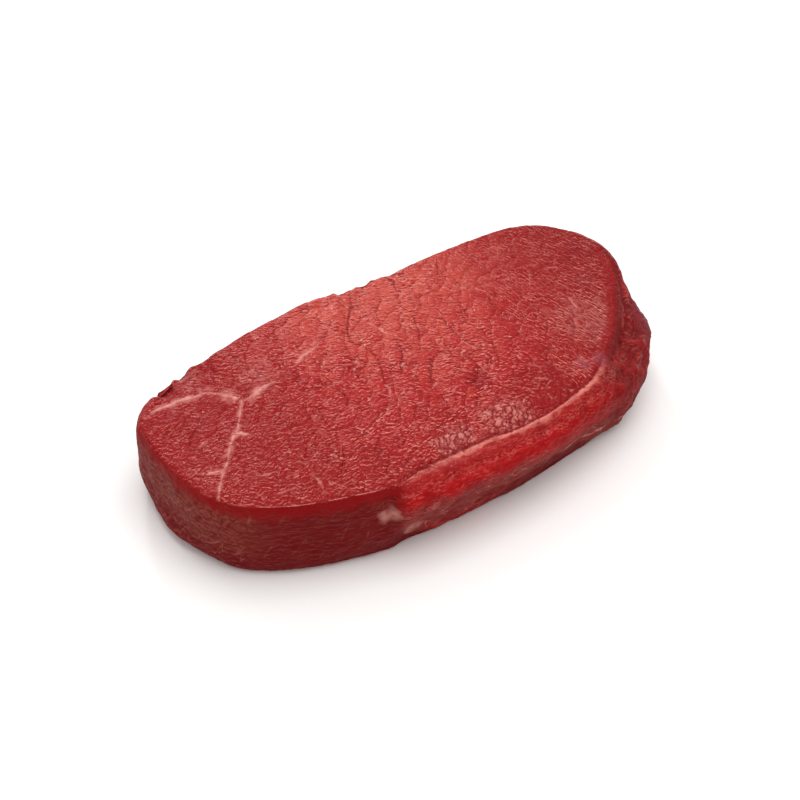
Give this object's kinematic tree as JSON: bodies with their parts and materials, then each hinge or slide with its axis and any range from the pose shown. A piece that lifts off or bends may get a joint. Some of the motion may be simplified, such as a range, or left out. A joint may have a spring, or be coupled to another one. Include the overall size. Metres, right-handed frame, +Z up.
{
  "type": "top round beef roast",
  "caption": "Thick slab of raw beef with broad flat cut faces, a rounded outline and a narrow band of muscle rolled along one edge; lies flat on a board, tray or counter.",
  "frame": {"origin": "on the surface that the slab lies on, under the middle of its bounding box", "axes": "+X along the length, towards the end that the edge band wraps round; +Y towards the back edge, away from the edge band; +Z up, out of the upper cut face"},
  "size_m": [0.257, 0.1352, 0.044],
  "materials": {
    "raw_beef": "moist raw beef, bright red on the cut faces, darker and browner on the wall, with thin pale fat seams"
  },
  "bodies": {
    "root": {"roast": "raw_beef"}
  },
  "joints": []
}
